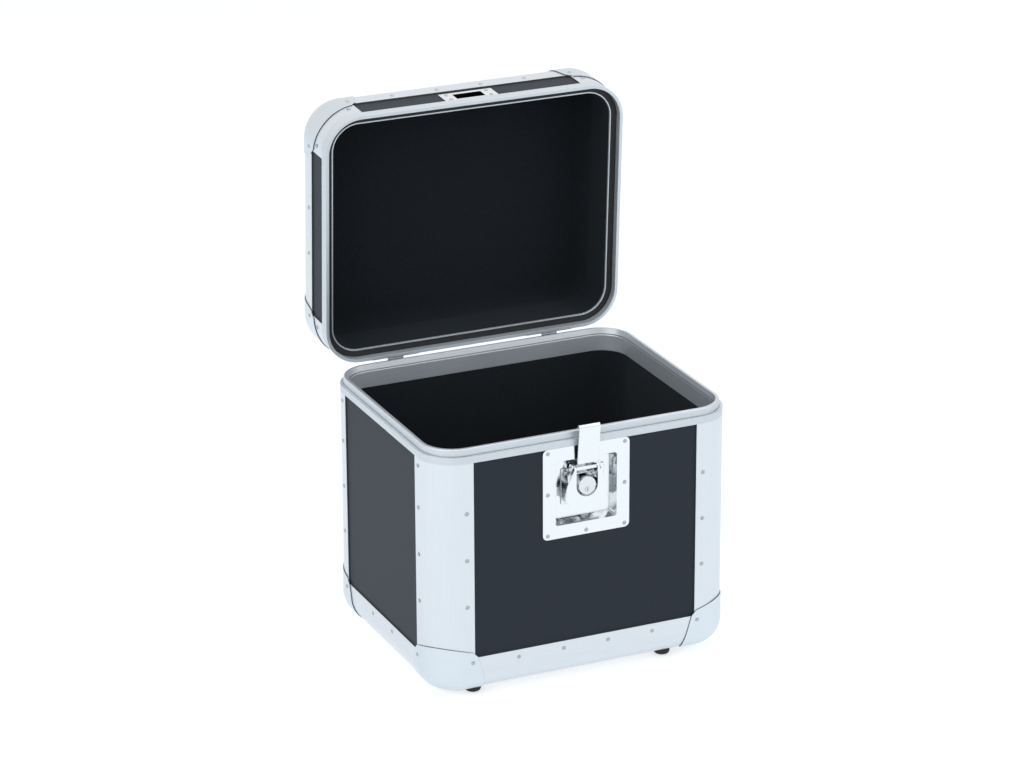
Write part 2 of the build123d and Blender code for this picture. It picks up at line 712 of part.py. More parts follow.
# ---------------------------------------------------------------- hinges
back = half_depth
hinge_axis = Axis((0, hinge_y, hinge_z), (1, 0, 0))
base_leaves = []
lid_leaves = []
pins = []
knuckle_half = hinge_knuckle / 2
base_leaf_places = [lift * place for place in hinge_places_base]
lid_leaf_places = [facing("back", x + dx, parting + leaf_lid - z, leaf_thick)
                   for x in (-hinge_pitch / 2, hinge_pitch / 2) for dx in spread(2, hinge_rivet_pitch)
                   for z in (hinge_rivet_low, hinge_rivet_low + hinge_rivet_rise)]


def knuckle(x0, x1):
    """Barrel of a hinge, bored for the pin."""
    bore = rod_x(pin_radius + pin_clear, x0 - spare, x1 + spare, hinge_y, hinge_z)
    return rod_x(knuckle_radius, x0, x1, hinge_y, hinge_z) - bore


for x in (-hinge_pitch / 2, hinge_pitch / 2):
    left, right = x - hinge_width / 2, x + hinge_width / 2
    web = knuckle_radius - leaf_thick
    leaf = box_between(left, right, back, back + leaf_thick, hinge_z - leaf_base, hinge_z - leaf_gap)
    leaf = leaf + box_between(left, right, back - skin, back + leaf_thick,
                              hinge_z - leaf_base, rim_line - butt_gap)
    for x0, x1 in ((left, x - knuckle_half - knuckle_gap), (x + knuckle_half + knuckle_gap, right)):
        plate_bit = box_between(x0, x1, back, hinge_y, hinge_z - knuckle_radius, hinge_z - web)
        bore = rod_x(pin_radius + pin_clear, x0 - spare, x1 + spare, hinge_y, hinge_z)
        leaf = leaf + (plate_bit + rod_x(knuckle_radius, x0, x1, hinge_y, hinge_z)) - bore
    base_leaves.append(drilled(leaf, base_leaf_places))
    frame_z = parting + frame_flange
    leaf = box_between(left, right, back, back + leaf_thick, hinge_z + leaf_gap, hinge_z + leaf_lid)
    leaf = leaf + box_between(left, right, back - skin, back + leaf_thick,
                              frame_z + butt_gap, hinge_z + leaf_lid)
    x0, x1 = x - knuckle_half, x + knuckle_half
    plate_bit = box_between(x0, x1, back, hinge_y, hinge_z + web, hinge_z + knuckle_radius)
    stop = box_between(x0, x1, back + leaf_thick + stop_gap, hinge_y, hinge_z - knuckle_radius, hinge_z - web)
    stop = stop.rotate(hinge_axis, lid_open)
    bore = rod_x(pin_radius + pin_clear, x0 - spare, x1 + spare, hinge_y, hinge_z)
    leaf = leaf + (plate_bit + stop + rod_x(knuckle_radius, x0, x1, hinge_y, hinge_z)) - bore
    lid_leaves.append(drilled(leaf, lid_leaf_places))
    pins.append(rod_x(pin_radius, left - leaf_thick / 2, right + leaf_thick / 2, hinge_y, hinge_z))
base_nodes["hinge_base_leaves"] = base_leaves
base_nodes["hinge_pins"] = pins
base_nodes["hinge_base_rivets"] = [place * case_rivet for place in base_leaf_places]

# ---------------------------------------------------------------- lid, made closed
lid_mid = (lid_edge + lid_panel_top) / 2 - lid_edge
lid_flat_places = (corner_places(lid_edge, lid_corner_rivet_in, [lid_mid], [lid_mid]) + edge_places(lid_edge))
lid_ball_places = ball_places(lid_edge, True)
lid = half_case(lid_edge, lid_panel_top, lid_board_top, lid_height, lid_board_top,
                lid_edge + ball_chamfer, lid_flat_places + lid_ball_places)

frame = ring(0, skin, lid_panel_top, lid_height)
frame = frame + ring(0, frame_lip, lid_height - skin, lid_height)
frame = frame + ring(frame_lip - frame_wall, frame_lip, lid_board_top, lid_height)
bead_out = lined_wall + bead_gap
frame = frame + ring(frame_lip - frame_wall, bead_out + bead_wall, lid_board_top, lid_height - groove_root)
frame = frame + ring(bead_out, bead_out + bead_wall, lid_board_top, lid_height - bead_drop)
seal = ring(frame_lip + seal_gap, bead_out - seal_gap,
            lid_height - groove_root, lid_height - groove_root + seal_thick)


def to_lid(shape):
    """From the lid's own frame, closed end down, to its closed place over the base."""
    return Pos(0, 0, lid_top) * mirror(shape, Plane.XY)


keeper_low = parting + frame_flange + cup_gap
keeper_high = keeper_low + keeper_height
slot_low = keeper_low + slot_lip
keeper_face = dish_face
cup_low = keeper_low + cup_raise
cup_high = slot_low + slot_height + cup_wall
cup_half = slot_width / 2 + cup_wall
keeper_places = [facing("front", sign * keeper_rivet_x, keeper_low + z, -keeper_face)
                 for sign in (-1, 1) for z in (keeper_rivet_low, keeper_rivet_high)]
keeper = on_front(rect_between(-keeper_width / 2, keeper_width / 2, keeper_low, keeper_high),
                  keeper_face, keeper_face + keeper_sheet)
cup_back = keeper_face + keeper_sheet + cup_depth
cup_floor = cup_low - cup_wall
cup = rect_between(-cup_half, cup_half, cup_floor, cup_high)
keeper = keeper + on_front(cup, keeper_face + keeper_sheet, cup_back)
cup_inside = rect_between(-slot_width / 2, slot_width / 2, cup_floor + cup_wall, cup_high - cup_wall)
keeper = keeper - on_front(cup_inside, keeper_face + keeper_sheet, cup_back - cup_wall)
keeper = keeper - on_front(rect_between(-slot_width / 2, slot_width / 2, slot_low, slot_low + slot_height),
                           keeper_face - spare, cup_back - cup_wall)
keeper = drilled(keeper, keeper_places)

front_strip = to_lid(lid["board_front"])
pocket = on_front(rect_between(-cup_half - cup_gap, cup_half + cup_gap, parting, cup_high + cup_gap),
                  -spare, wall + spare / 2)
front_strip = drilled(front_strip - pocket, keeper_places)
back_strip = drilled(to_lid(lid["board_back"]), lid_leaf_places)

# handle: two brackets, a bail and its grip, on the lid's top panel
bail_side = handle_span / 2
bail_z = lid_top + handle_rise
bail_path = FilletPolyline((-bail_side + barrel_inset + barrel_length + bail_end, 0, bail_z),
                           (-bail_side, 0, bail_z), (-bail_side, handle_reach, bail_z),
                           (bail_side, handle_reach, bail_z), (bail_side, 0, bail_z),
                           (bail_side - barrel_inset - barrel_length - bail_end, 0, bail_z),
                           radius=handle_bend)
bail_start = Plane(origin=bail_path @ 0, z_dir=bail_path % 0)
bail = sweep(bail_start * Circle(handle_rod), path=bail_path)
grip = rod_x(grip_radius, -grip_length / 2, grip_length / 2, handle_reach, bail_z)
grip = fillet(grip.edges(), grip_rounding)
grip = grip - rod_x(handle_rod, -grip_length / 2 - spare, grip_length / 2 + spare, handle_reach, bail_z)
brackets = []
bracket_places = []
for sign in (-1, 1):
    outer = bail_side - barrel_inset
    inner = outer - barrel_length
    mid = sign * (outer + inner) / 2
    head_end = inner - bail_end
    head = rod_x(bail_head, min(sign * head_end, sign * (head_end - bail_end)),
                 max(sign * head_end, sign * (head_end - bail_end)), 0, bail_z)
    bail = bail + head
    x0, x1 = mid - barrel_length / 2, mid + barrel_length / 2
    foot_plate = box_between(x0 - bracket_side, x1, -bracket_length / 2, bracket_length / 2,
                             lid_top - skin, lid_top - skin + bracket_thick)
    if sign < 0:
        foot_plate = box_between(x0, x1 + bracket_side, -bracket_length / 2, bracket_length / 2,
                                 lid_top - skin, lid_top - skin + bracket_thick)
    web_block = box_between(x0, x1, -barrel_radius, barrel_radius, lid_top - skin, bail_z)
    body = foot_plate + web_block + rod_x(barrel_radius, x0, x1, 0, bail_z)
    body = body - rod_x(handle_rod + handle_clear, x0 - spare, x1 + spare, 0, bail_z)
    places = [Pos(mid, y, lid_top - skin + bracket_thick) for y in (-bracket_rivet_out, bracket_rivet_out)]
    bracket_places += places
    brackets.append(drilled(body, places))
top_panel = drilled(to_lid(lid["board_end"]), bracket_places)

lid_nodes["lid_panel_top"] = [top_panel]
lid_nodes["lid_strip_front"] = [front_strip]
lid_nodes["lid_strip_back"] = [back_strip]
lid_nodes["lid_strip_left"] = [to_lid(lid["board_left"])]
lid_nodes["lid_strip_right"] = [to_lid(lid["board_right"])]
for name in ("front_left", "front_right", "back_left", "back_right"):
    lid_nodes["lid_corner_" + name] = [to_lid(lid["corner_" + name])]
for side in ("front", "back", "left", "right"):
    lid_nodes["lid_edge_" + side] = [to_lid(lid["edge_" + side])]
lid_nodes["lid_ball_corners"] = [to_lid(lid["ball_" + name]) for name in
                                 ("front_left", "front_right", "back_left", "back_right")]
lid_nodes["lid_frame"] = [to_lid(frame)]
lid_nodes["lid_seal"] = [to_lid(seal)]
lid_nodes["lid_lining"] = [to_lid(lid["lining"])]
lid_nodes["lid_rivets"] = [to_lid(place * case_rivet) for place in lid_flat_places + lid_ball_places]
lid_nodes["keeper_plate"] = [keeper]
lid_nodes["keeper_rivets"] = [place * case_rivet for place in keeper_places]
lid_nodes["hinge_lid_leaves"] = lid_leaves
lid_nodes["hinge_lid_rivets"] = [place * case_rivet for place in lid_leaf_places]
lid_nodes["handle_brackets"] = brackets
lid_nodes["handle_rivets"] = [place * case_rivet for place in bracket_places]
bail_nodes["handle_bail"] = [bail]
bail_nodes["handle_grip"] = [grip]

# ---------------------------------------------------------------- place and write
nodes = {}
for group in (base_nodes, lever_nodes, hook_pin_nodes, hook_nodes, plug_nodes):
    for name, shapes in group.items():
        nodes[name] = solids_of(*shapes)
for group in (lid_nodes, bail_nodes):
    for name, shapes in group.items():
        nodes[name] = [solid.rotate(hinge_axis, -lid_open) for solid in solids_of(*shapes)]

boxes = [Compound(solids).bounding_box() for solids in nodes.values()]
low_y = min(box.min.Y for box in boxes)
high_y = max(box.max.Y for box in boxes)
shift = Pos(0, -(low_y + high_y) / 2, 0)

os.makedirs("parts", exist_ok=True)
for name, solids in nodes.items():
    export_step(Compound([shift * solid for solid in solids]), "parts/" + name + ".step")


def tell(name, y, z, x=0.0):
    """Print a joint's or a mount's place, in metres, in the written frame."""
    print(name, [round(x / 1000, 6), round((y - (low_y + high_y) / 2) / 1000, 6), round(z / 1000, 6)])


def opened(y, z):
    """A point of the closed lid, after the lid has opened."""
    turn = math.radians(-lid_open)
    dy, dz = y - hinge_y, z - hinge_z
    return (hinge_y + dy * math.cos(turn) - dz * math.sin(turn),
            hinge_z + dy * math.sin(turn) + dz * math.cos(turn))


print("nodes", len(nodes), "solids", sum(len(solids) for solids in nodes.values()))
print("y range", low_y, high_y, "z top", max(box.max.Z for box in boxes))
tell("lid_hinge", hinge_y, hinge_z)
tell("lever_lift", pivot_y, pivot_z)
tell("hook_swing", hook_y, hook_z)
tell("lock_turn", front, plug_z)
tell("handle_swing", *opened(0, bail_z))
tell("front_face", front, parting)
tell("back_face", half_depth, parting)
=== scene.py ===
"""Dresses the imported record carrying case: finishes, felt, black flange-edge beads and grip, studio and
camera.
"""

import json
import logging
import math
from dataclasses import dataclass, field
from enum import Enum

import bmesh
import bpy
import numpy as np
from mathutils import Matrix, Vector

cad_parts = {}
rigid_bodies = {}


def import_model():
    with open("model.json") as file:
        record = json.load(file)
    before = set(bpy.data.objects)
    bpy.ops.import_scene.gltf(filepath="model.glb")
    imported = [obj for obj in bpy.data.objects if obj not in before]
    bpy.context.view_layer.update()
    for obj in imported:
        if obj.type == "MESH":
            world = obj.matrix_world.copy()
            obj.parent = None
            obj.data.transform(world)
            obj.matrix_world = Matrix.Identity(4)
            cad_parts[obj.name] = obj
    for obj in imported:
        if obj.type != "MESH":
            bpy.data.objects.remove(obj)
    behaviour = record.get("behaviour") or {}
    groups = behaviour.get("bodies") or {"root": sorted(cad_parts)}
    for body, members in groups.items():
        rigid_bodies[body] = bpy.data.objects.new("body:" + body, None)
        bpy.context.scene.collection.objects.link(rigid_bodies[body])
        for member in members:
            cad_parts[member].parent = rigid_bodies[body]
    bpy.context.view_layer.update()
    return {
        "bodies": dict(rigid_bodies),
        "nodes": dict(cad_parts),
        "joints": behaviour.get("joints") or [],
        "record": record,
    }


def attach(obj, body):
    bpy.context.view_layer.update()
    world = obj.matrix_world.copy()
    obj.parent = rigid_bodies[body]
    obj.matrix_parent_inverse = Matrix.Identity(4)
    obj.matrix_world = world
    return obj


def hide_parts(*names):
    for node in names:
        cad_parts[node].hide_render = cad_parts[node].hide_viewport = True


LOG = logging.getLogger("record_case")
MM = 0.001


# ---------------------------------------------------------------- colour, nodes and meshes
def srgb(code: str, alpha: float = 1.0) -> tuple[float, float, float, float]:
    """Linear colour of an sRGB hex code.

    Args:
        code: six hex digits, with or without a leading hash.
        alpha: the fourth value.
    Returns:
        Red, green, blue and alpha, linear: each channel is c/12.92 near black and
        ((c + 0.055) / 1.055) to the power 2.4 above that.
    """
    digits = code.lstrip("#")
    channels = [int(digits[i:i + 2], 16) / 255 for i in (0, 2, 4)]
    linear = [c / 12.92 if c <= 0.04045 else ((c + 0.055) / 1.055) ** 2.4 for c in channels]
    return (linear[0], linear[1], linear[2], alpha)


def add_node(tree: bpy.types.NodeTree, kind: str, settings: dict | None = None,
             inputs: dict | None = None, links: dict | None = None) -> bpy.types.Node:
    """Add one node with its settings, socket values and incoming links.

    Args:
        tree: the node tree.
        kind: the node's type name.
        settings: attribute values of the node.
        inputs: socket values, by socket name or index.
        links: output sockets that feed this node, by input socket name or index.
    Returns:
        The new node.
    """
    node = tree.nodes.new(kind)
    for key, value in (settings or {}).items():
        setattr(node, key, value)
    for key, value in (inputs or {}).items():
        node.inputs[key].default_value = value
    for key, source in (links or {}).items():
        tree.links.new(source, node.inputs[key])
    return node


def make_object(name: str, points: np.ndarray, faces: list[np.ndarray],
                smooth_angle: float = 35.0) -> bpy.types.Object:
    """Put a surface into the scene as an object at the origin.

    Args:
        name: the piece's name.
        points: N by 3 array of places, in metres.
        faces: index arrays, each M by 3 or M by 4.
        smooth_angle: edges sharper than this many degrees stay sharp.
    Returns:
        The new object.
    """
    mesh = bpy.data.meshes.new(name)
    mesh.from_pydata(points.tolist(), [], [row for block in faces for row in block.tolist()])
    mesh.validate()
    mesh.shade_smooth()
    mesh.set_sharp_from_angle(angle=math.radians(smooth_angle))
    mesh.update()
    thing = bpy.data.objects.new(name, mesh)
    bpy.context.scene.collection.objects.link(thing)
    return thing


def outwards(thing: bpy.types.Object) -> None:
    """Turn every face of a closed piece outwards.

    Args:
        thing: the piece.
    """
    mesh = bmesh.new()
    mesh.from_mesh(thing.data)
    bmesh.ops.recalc_face_normals(mesh, faces=mesh.faces)
    mesh.to_mesh(thing.data)
    mesh.free()
    thing.data.update()


def turned(profile: np.ndarray, segments: int) -> tuple[np.ndarray, list[np.ndarray]]:
    """Surface of revolution about Z from a profile that starts and ends on the axis.

    Each ring is the profile point's radius times the cosine and sine of an evenly
    stepped angle, at the profile point's height; both ends close in one point.

    Args:
        profile: K by 2 array of radius and height, from the lower pole to the upper.
        segments: points round each ring.
    Returns:
        The places and the faces, all pointing outwards.
    """
    angle = np.arange(segments) * 2 * np.pi / segments
    rings = profile[1:-1]
    grid = np.stack([rings[:, :1] * np.cos(angle), rings[:, :1] * np.sin(angle),
                     np.broadcast_to(rings[:, 1:], (len(rings), segments))], axis=-1).reshape(-1, 3)
    points = np.vstack([[[0.0, 0.0, profile[0, 1]]], grid, [[0.0, 0.0, profile[-1, 1]]]])
    here = np.arange(segments)
    there = (here + 1) % segments
    rows = 1 + segments * np.arange(len(rings) - 1)[:, None]
    quads = np.stack([rows + here, rows + there, rows + segments + there, rows + segments + here], axis=-1)
    last = len(points) - 1
    low = np.stack([np.zeros(segments, int), 1 + there, 1 + here], axis=-1)
    top = 1 + segments * (len(rings) - 1)
    high = np.stack([np.full(segments, last), top + here, top + there], axis=-1)
    return points, [quads.reshape(-1, 4), low, high]


# ---------------------------------------------------------------- the case's own measures, in mm
@dataclass(frozen=True)
class Measures:
    """Driving sizes of the case: x centred, y centred on the base, z = 0 on the ground, the lid shut."""
    half_width: float = 189.0
    half_depth: float = 153.0
    parting: float = 300.0
    lid_top: float = 388.5
    corner_radius: float = 44.0
    edge_round: float = 28.0
    skin: float = 1.5
    wall: float = 9.0
    lined_wall: float = 10.5
    corner_reach: float = 50.0
    base_low: float = 54.0        # lower border of the base's boards
    base_high: float = 292.0      # their upper border, under the rim
    lid_low: float = 313.5        # lower border of the lid's strips
    lid_high: float = 345.5       # their upper border
    top_reach: float = 43.0       # from the lid's sides to its top panel
    hinge_y: float = 160.0
    hinge_z: float = 300.0
    lid_open: float = 87.0
    shift_y: float = -47.376912   # from the base's middle to the open case's

    def base(self, points: np.ndarray) -> np.ndarray:
        """Places on the base, from mm about the base's middle to metres in the row frame."""
        return (points + np.array([0.0, self.shift_y, 0.0])) * MM

    def lid(self, points: np.ndarray) -> np.ndarray:
        """Places on the lid, from the shut lid's mm to the open lid's metres.

        Each place turns by minus the opening angle about the hinge's axis, and then moves as the base does.

        Args:
            points: N by 3 places.
        Returns:
            N by 3 places.
        """
        turn = math.radians(-self.lid_open)
        y, z = points[:, 1] - self.hinge_y, points[:, 2] - self.hinge_z
        return self.base(np.stack([points[:, 0], self.hinge_y + y * math.cos(turn) - z * math.sin(turn),
                                   self.hinge_z + y * math.sin(turn) + z * math.cos(turn)], axis=1))


SIZE = Measures()


# ---------------------------------------------------------------- finishes
class Run(Enum):
    """The way an extrusion's die lines run; the value is the fine scale along X, Y and Z."""
    UPRIGHT = (1.0, 1.0, 0.012)
    ACROSS = (0.012, 1.0, 1.0)
    ALONG = (1.0, 0.012, 1.0)
    LEVEL = (0.02, 0.02, 1.0)


def principled(name: str, **values: object) -> tuple[bpy.types.Material, bpy.types.NodeTree, bpy.types.Node]:
    """Start a material from one Principled shader.

    Args:
        name: the material's name.
        values: socket values, with underscores for spaces.
    Returns:
        The material, its tree and its shader.
    """
    material = bpy.data.materials.new(name)
    material.use_nodes = True
    tree = material.node_tree
    tree.nodes.clear()
    shader = add_node(tree, "ShaderNodeBsdfPrincipled",
                      inputs={k.replace("_", " "): v for k, v in values.items()})
    add_node(tree, "ShaderNodeOutputMaterial", links={"Surface": shader.outputs["BSDF"]})
    return material, tree, shader


def painted_seam_shade(tree: bpy.types.NodeTree, tone: bpy.types.NodeSocket | tuple[float, ...],
           reach_mm: float) -> bpy.types.NodeSocket:
    """Paint shade into a colour beside seams, rivets and inner corners, where the surroundings close in.

    Args:
        tree: the material's nodes.
        tone: the unshaded colour, or the socket with it.
        reach_mm: how far from the seam the painted shade reaches.

    Returns:
        The socket with the colour: painted shade where the open share of the surroundings is below a third.
    """
    space = add_node(tree, "ShaderNodeAmbientOcclusion", {"samples": 6}, {"Distance": reach_mm * MM})
    unshaded = add_node(tree, "ShaderNodeMapRange", {"interpolation_type": "SMOOTHSTEP"},
                     {"From Min": 0.3, "From Max": 0.85}, {"Value": space.outputs["AO"]})
    # painted shade: the colour goes to near-black #23282D where ambient occlusion finds the surroundings
    # close
    colours, links = {6: srgb("#23282D")}, {0: unshaded.outputs["Result"]}
    (colours if isinstance(tone, tuple) else links)[7] = tone
    return add_node(tree, "ShaderNodeMix", {"data_type": "RGBA"}, colours, links).outputs[2]


@dataclass(frozen=True)
class AnodisedAluminium:
    """Extruded aluminium, matt anodised: cool and pale, with die lines along the extrusion."""
    run: Run
    name: str = "anodised_aluminium"
    light: str = "#E1E6EA"
    dark: str = "#D4DAE0"
    metallic: float = 0.82        # the etched oxide scatters part of the light as a white surface does
    roughness: float = 0.3
    edge_mm: float = 0.5          # the die leaves every edge slightly round
    line_mm: float = 1.1          # real die lines are about 0.2 mm apart, drawn coarser so that they show

    def build(self) -> bpy.types.Material:
        """Return the material: stretched noise makes the lines in colour, roughness and a faint bump."""
        material, tree, shader = principled(self.name + "_" + self.run.name.lower(), Metallic=self.metallic)
        place = add_node(tree, "ShaderNodeTexCoord")
        edge = add_node(tree, "ShaderNodeBevel", {"samples": 4}, {"Radius": self.edge_mm * MM})
        stretch = add_node(tree, "ShaderNodeMapping", inputs={"Scale": self.run.value},
                           links={"Vector": place.outputs["Object"]})
        lines = add_node(tree, "ShaderNodeTexNoise", inputs={"Scale": 1000 / self.line_mm, "Detail": 3.0,
                                                             "Roughness": 0.65},
                         links={"Vector": stretch.outputs["Vector"]})
        cloud = add_node(tree, "ShaderNodeTexNoise", inputs={"Scale": 14.0, "Detail": 2.0},
                         links={"Vector": place.outputs["Object"]})
        tone = add_node(tree, "ShaderNodeMix", {"data_type": "RGBA"},
                        {6: srgb(self.dark), 7: srgb(self.light)}, {0: lines.outputs["Fac"]})
        rough = add_node(tree, "ShaderNodeMapRange",
                         inputs={"To Min": self.roughness - 0.05, "To Max": self.roughness + 0.06},
                         links={"Value": cloud.outputs["Fac"]})
        bump = add_node(tree, "ShaderNodeBump", inputs={"Strength": 0.06, "Distance": 0.0002},
                        links={"Height": lines.outputs["Fac"], "Normal": edge.outputs["Normal"]})
        # painted shade darkens the aluminium's colour beside seams and inner corners
        tree.links.new(painted_seam_shade(tree, tone.outputs[2], 1.6), shader.inputs["Base Color"])
        tree.links.new(rough.outputs["Result"], shader.inputs["Roughness"])
        tree.links.new(bump.outputs["Normal"], shader.inputs["Normal"])
        return material


@dataclass(frozen=True)
class LaminatedBoard:
    """Plywood faced with charcoal laminate: a close pebble grain that scatters light into a soft sheen."""
    name: str = "charcoal_laminate"
    light: str = "#16222F"
    dark: str = "#101B27"
    roughness: float = 0.55
    grain_mm: float = 0.9         # the pebble of the laminate

    def build(self) -> bpy.types.Material:
        """Return the material: a fine cell pattern bumps the face, and slow clouds vary its tone."""
        material, tree, shader = principled(self.name, Roughness=self.roughness, IOR=1.4)
        place = add_node(tree, "ShaderNodeTexCoord")
        grain = add_node(tree, "ShaderNodeTexVoronoi", {"feature": "SMOOTH_F1"},
                         {"Scale": 1000 / self.grain_mm, "Smoothness": 0.6},
                          {"Vector": place.outputs["Object"]})
        cloud = add_node(tree, "ShaderNodeTexNoise", inputs={"Scale": 60.0, "Detail": 5.0, "Roughness": 0.6},
                         links={"Vector": place.outputs["Object"]})
        tone = add_node(tree, "ShaderNodeMix", {"data_type": "RGBA"},
                        {6: srgb(self.dark), 7: srgb(self.light)}, {0: cloud.outputs["Fac"]})
        bump = add_node(tree, "ShaderNodeBump", inputs={"Strength": 0.22, "Distance": 0.0003},
                        links={"Height": grain.outputs["Distance"]})
        tree.links.new(tone.outputs[2], shader.inputs["Base Color"])
        tree.links.new(bump.outputs["Normal"], shader.inputs["Normal"])
        return material


@dataclass(frozen=True)
class NeedleFelt:
    """Black needle felt glued to the boards: dull, with pale fibre ends that show as specks."""
    name: str = "black_felt"
    pile: str = "#14181D"
    speck: str = "#262D34"
    fibre_mm: float = 1.2         # fibres are about 0.05 mm thick, drawn as tufts so that they show

    def build(self) -> bpy.types.Material:
        """Return the material: sheen for the pile, a rough bump, and specks where fine noise peaks."""
        material, tree, shader = principled(self.name, Roughness=0.95, IOR=1.35)
        shader.inputs["Sheen Weight"].default_value = 0.18
        shader.inputs["Sheen Roughness"].default_value = 0.6
        shader.inputs["Sheen Tint"].default_value = srgb("#8A949C")
        place = add_node(tree, "ShaderNodeTexCoord")
        fibre = add_node(tree, "ShaderNodeTexNoise", inputs={"Scale": 1000 / self.fibre_mm, "Detail": 6.0,
                                                             "Roughness": 0.75},
                         links={"Vector": place.outputs["Object"]})
        peak = add_node(tree, "ShaderNodeMapRange", inputs={"From Min": 0.5, "From Max": 0.72},
                        links={"Value": fibre.outputs["Fac"]})
        tone = add_node(tree, "ShaderNodeMix", {"data_type": "RGBA"},
                        {6: srgb(self.pile), 7: srgb(self.speck)}, {0: peak.outputs["Result"]})
        bump = add_node(tree, "ShaderNodeBump", inputs={"Strength": 0.5, "Distance": 0.0006},
                        links={"Height": fibre.outputs["Fac"]})
        tree.links.new(tone.outputs[2], shader.inputs["Base Color"])
        tree.links.new(bump.outputs["Normal"], shader.inputs["Normal"])
        return material


@dataclass(frozen=True)
class PlatedMetal:
    """Plated metal, stamped or turned: mirror-like to satin, with faint waves from pressing."""
    name: str
    colour: str
    roughness: float
    wave: float = 0.12
    edge_mm: float = 0.4          # pressing and plating leave every edge slightly round
    seam_shade_mm: float = 1.6         # how far from a seam or an inner corner the painted shade reaches
    pocket: tuple[float, ...] = ()  # a plane, as x, y, z and distance: beyond it the metal is darkened to near-black as painted shade of the deep cup

    def build(self) -> bpy.types.Material:
        """Return the material: slow waves bend the reflections, and fine haze varies the polish."""
        material, tree, shader = principled(self.name, Metallic=1.0, Base_Color=srgb(self.colour))
        place = add_node(tree, "ShaderNodeTexCoord")
        edge = add_node(tree, "ShaderNodeBevel", {"samples": 4}, {"Radius": self.edge_mm * MM})
        wave = add_node(tree, "ShaderNodeTexNoise", inputs={"Scale": 45.0, "Detail": 1.5},
                        links={"Vector": place.outputs["Object"]})
        haze = add_node(tree, "ShaderNodeTexNoise", inputs={"Scale": 60.0, "Detail": 3.0, "Roughness": 0.6},
                        links={"Vector": place.outputs["Object"]})
        rough = add_node(tree, "ShaderNodeMapRange",
                         inputs={"To Min": self.roughness * 0.75, "To Max": self.roughness * 1.3},
                         links={"Value": haze.outputs["Fac"]})
        bump = add_node(tree, "ShaderNodeBump", inputs={"Strength": self.wave, "Distance": 0.002},
                        links={"Height": wave.outputs["Fac"], "Normal": edge.outputs["Normal"]})
        tree.links.new(rough.outputs["Result"], shader.inputs["Roughness"])
        tree.links.new(bump.outputs["Normal"], shader.inputs["Normal"])
        # painted shade: beyond the plane, inside the keeper's cup, the colour turns near-black and the metal
        # stops reflecting
        if self.pocket:
            depth = add_node(tree, "ShaderNodeVectorMath", {"operation": "DOT_PRODUCT"}, {1: self.pocket[:3]},
                             {0: place.outputs["Object"]})
            inside = add_node(tree, "ShaderNodeMath", {"operation": "GREATER_THAN"}, {1: self.pocket[3]},
                              {0: depth.outputs["Value"]})
            tone = add_node(tree, "ShaderNodeMix", {"data_type": "RGBA"},
                            {6: srgb(self.colour), 7: srgb("#08090B")}, {0: inside.outputs[0]})
            metal = add_node(tree, "ShaderNodeMath", {"operation": "SUBTRACT"}, {0: 1.0},
                             {1: inside.outputs[0]})
            tree.links.new(tone.outputs[2], shader.inputs["Base Color"])
            tree.links.new(metal.outputs[0], shader.inputs["Metallic"])
        else:
            # painted shade darkens the metal's colour beside seams, rivets and inner corners
            tree.links.new(painted_seam_shade(tree, srgb(self.colour), self.seam_shade_mm), shader.inputs["Base Color"])
        return material


@dataclass(frozen=True)
class MouldedBlack:
    """Black rubber or vinyl, moulded: matt, with a fine grain and a little dust tone."""
    name: str
    colour: str
    roughness: float
    grain_mm: float

    def build(self) -> bpy.types.Material:
        """Return the material: fine noise gives the mould's grain, and slow noise its dusty tone."""
        material, tree, shader = principled(self.name, Roughness=self.roughness, IOR=1.52)
        place = add_node(tree, "ShaderNodeTexCoord")
        grain = add_node(tree, "ShaderNodeTexNoise", inputs={"Scale": 1000 / self.grain_mm, "Detail": 4.0},
                         links={"Vector": place.outputs["Object"]})
        dust = add_node(tree, "ShaderNodeTexNoise", inputs={"Scale": 90.0, "Detail": 4.0},
                        links={"Vector": place.outputs["Object"]})
        tone = add_node(tree, "ShaderNodeMix", {"data_type": "RGBA"},
                        {6: srgb(self.colour), 7: srgb("#25282B")}, {0: dust.outputs["Fac"]})
        bump = add_node(tree, "ShaderNodeBump", inputs={"Strength": 0.3, "Distance": 0.0002},
                        links={"Height": grain.outputs["Fac"]})
        tree.links.new(tone.outputs[2], shader.inputs["Base Color"])
        tree.links.new(bump.outputs["Normal"], shader.inputs["Normal"])
        return material


def keeper_depth() -> tuple[float, ...]:
    """Plane behind the keeper's plate on the open lid, beyond which the cup gets painted shade: its inward
    direction, and its distance in metres.
    """
    places = SIZE.lid(np.array([[0.0, -SIZE.half_depth + 1.7, 320.0], [0.0, -SIZE.half_depth + 2.7, 320.0]]))
    inward = (places[1] - places[0]) / np.linalg.norm(places[1] - places[0])
    return (*inward.tolist(), float(places[0] @ inward))


